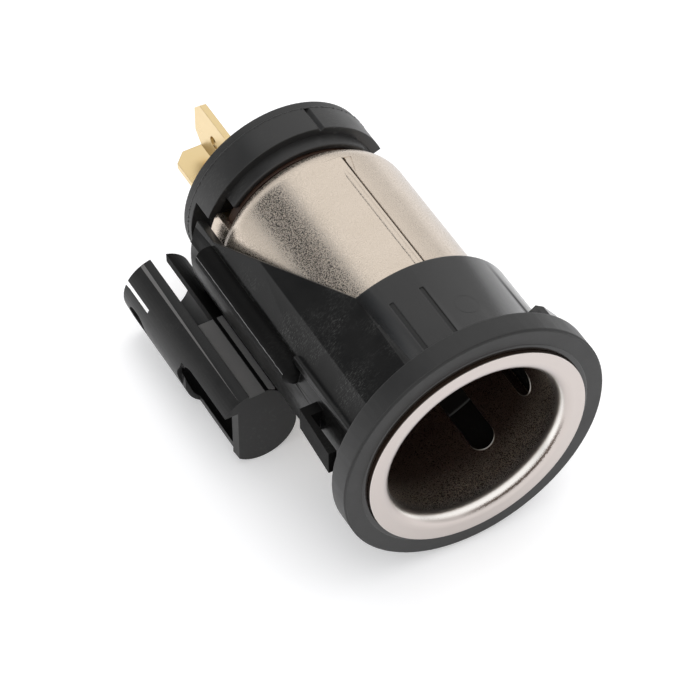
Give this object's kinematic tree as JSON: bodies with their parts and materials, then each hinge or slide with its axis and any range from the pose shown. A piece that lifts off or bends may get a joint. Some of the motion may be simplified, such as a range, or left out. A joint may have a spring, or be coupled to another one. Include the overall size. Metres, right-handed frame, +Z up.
{
  "type": "car 12v power socket",
  "caption": "Car 12 V power socket: round bezel and collar with a snap tongue, plated shell with a plug bore, tapering arm with an empty lamp-holder tube, and blade terminals at the rear.",
  "frame": {"origin": "on the plug bore's axis, in the plane of the bezel flange's rear face, where it seats on a panel", "axes": "-Y along the bore's axis out of the mouth, +Y to the blades, +Z up with the seam near the top, lamp-holder tube at -X and -Z"},
  "size_m": [0.0361, 0.0545, 0.0329],
  "materials": {
    "bezel_black": "gloss",
    "shroud_black": "satin",
    "plate_black": "satin",
    "nickel": "satin",
    "phenolic": "satin",
    "brass": "satin",
    "rivet_steel": "satin"
  },
  "bodies": {
    "root": {"bezel_housing": "bezel_black", "socket_shell": "nickel", "terminal_shroud": "shroud_black", "back_plate": "plate_black", "rear_insulator": "phenolic", "inner_insulator": "phenolic", "centre_contact": "brass", "centre_rivet": "rivet_steel", "ground_rivet": "rivet_steel", "positive_blade": "brass", "ground_blade": "brass"}
  },
  "joints": []
}
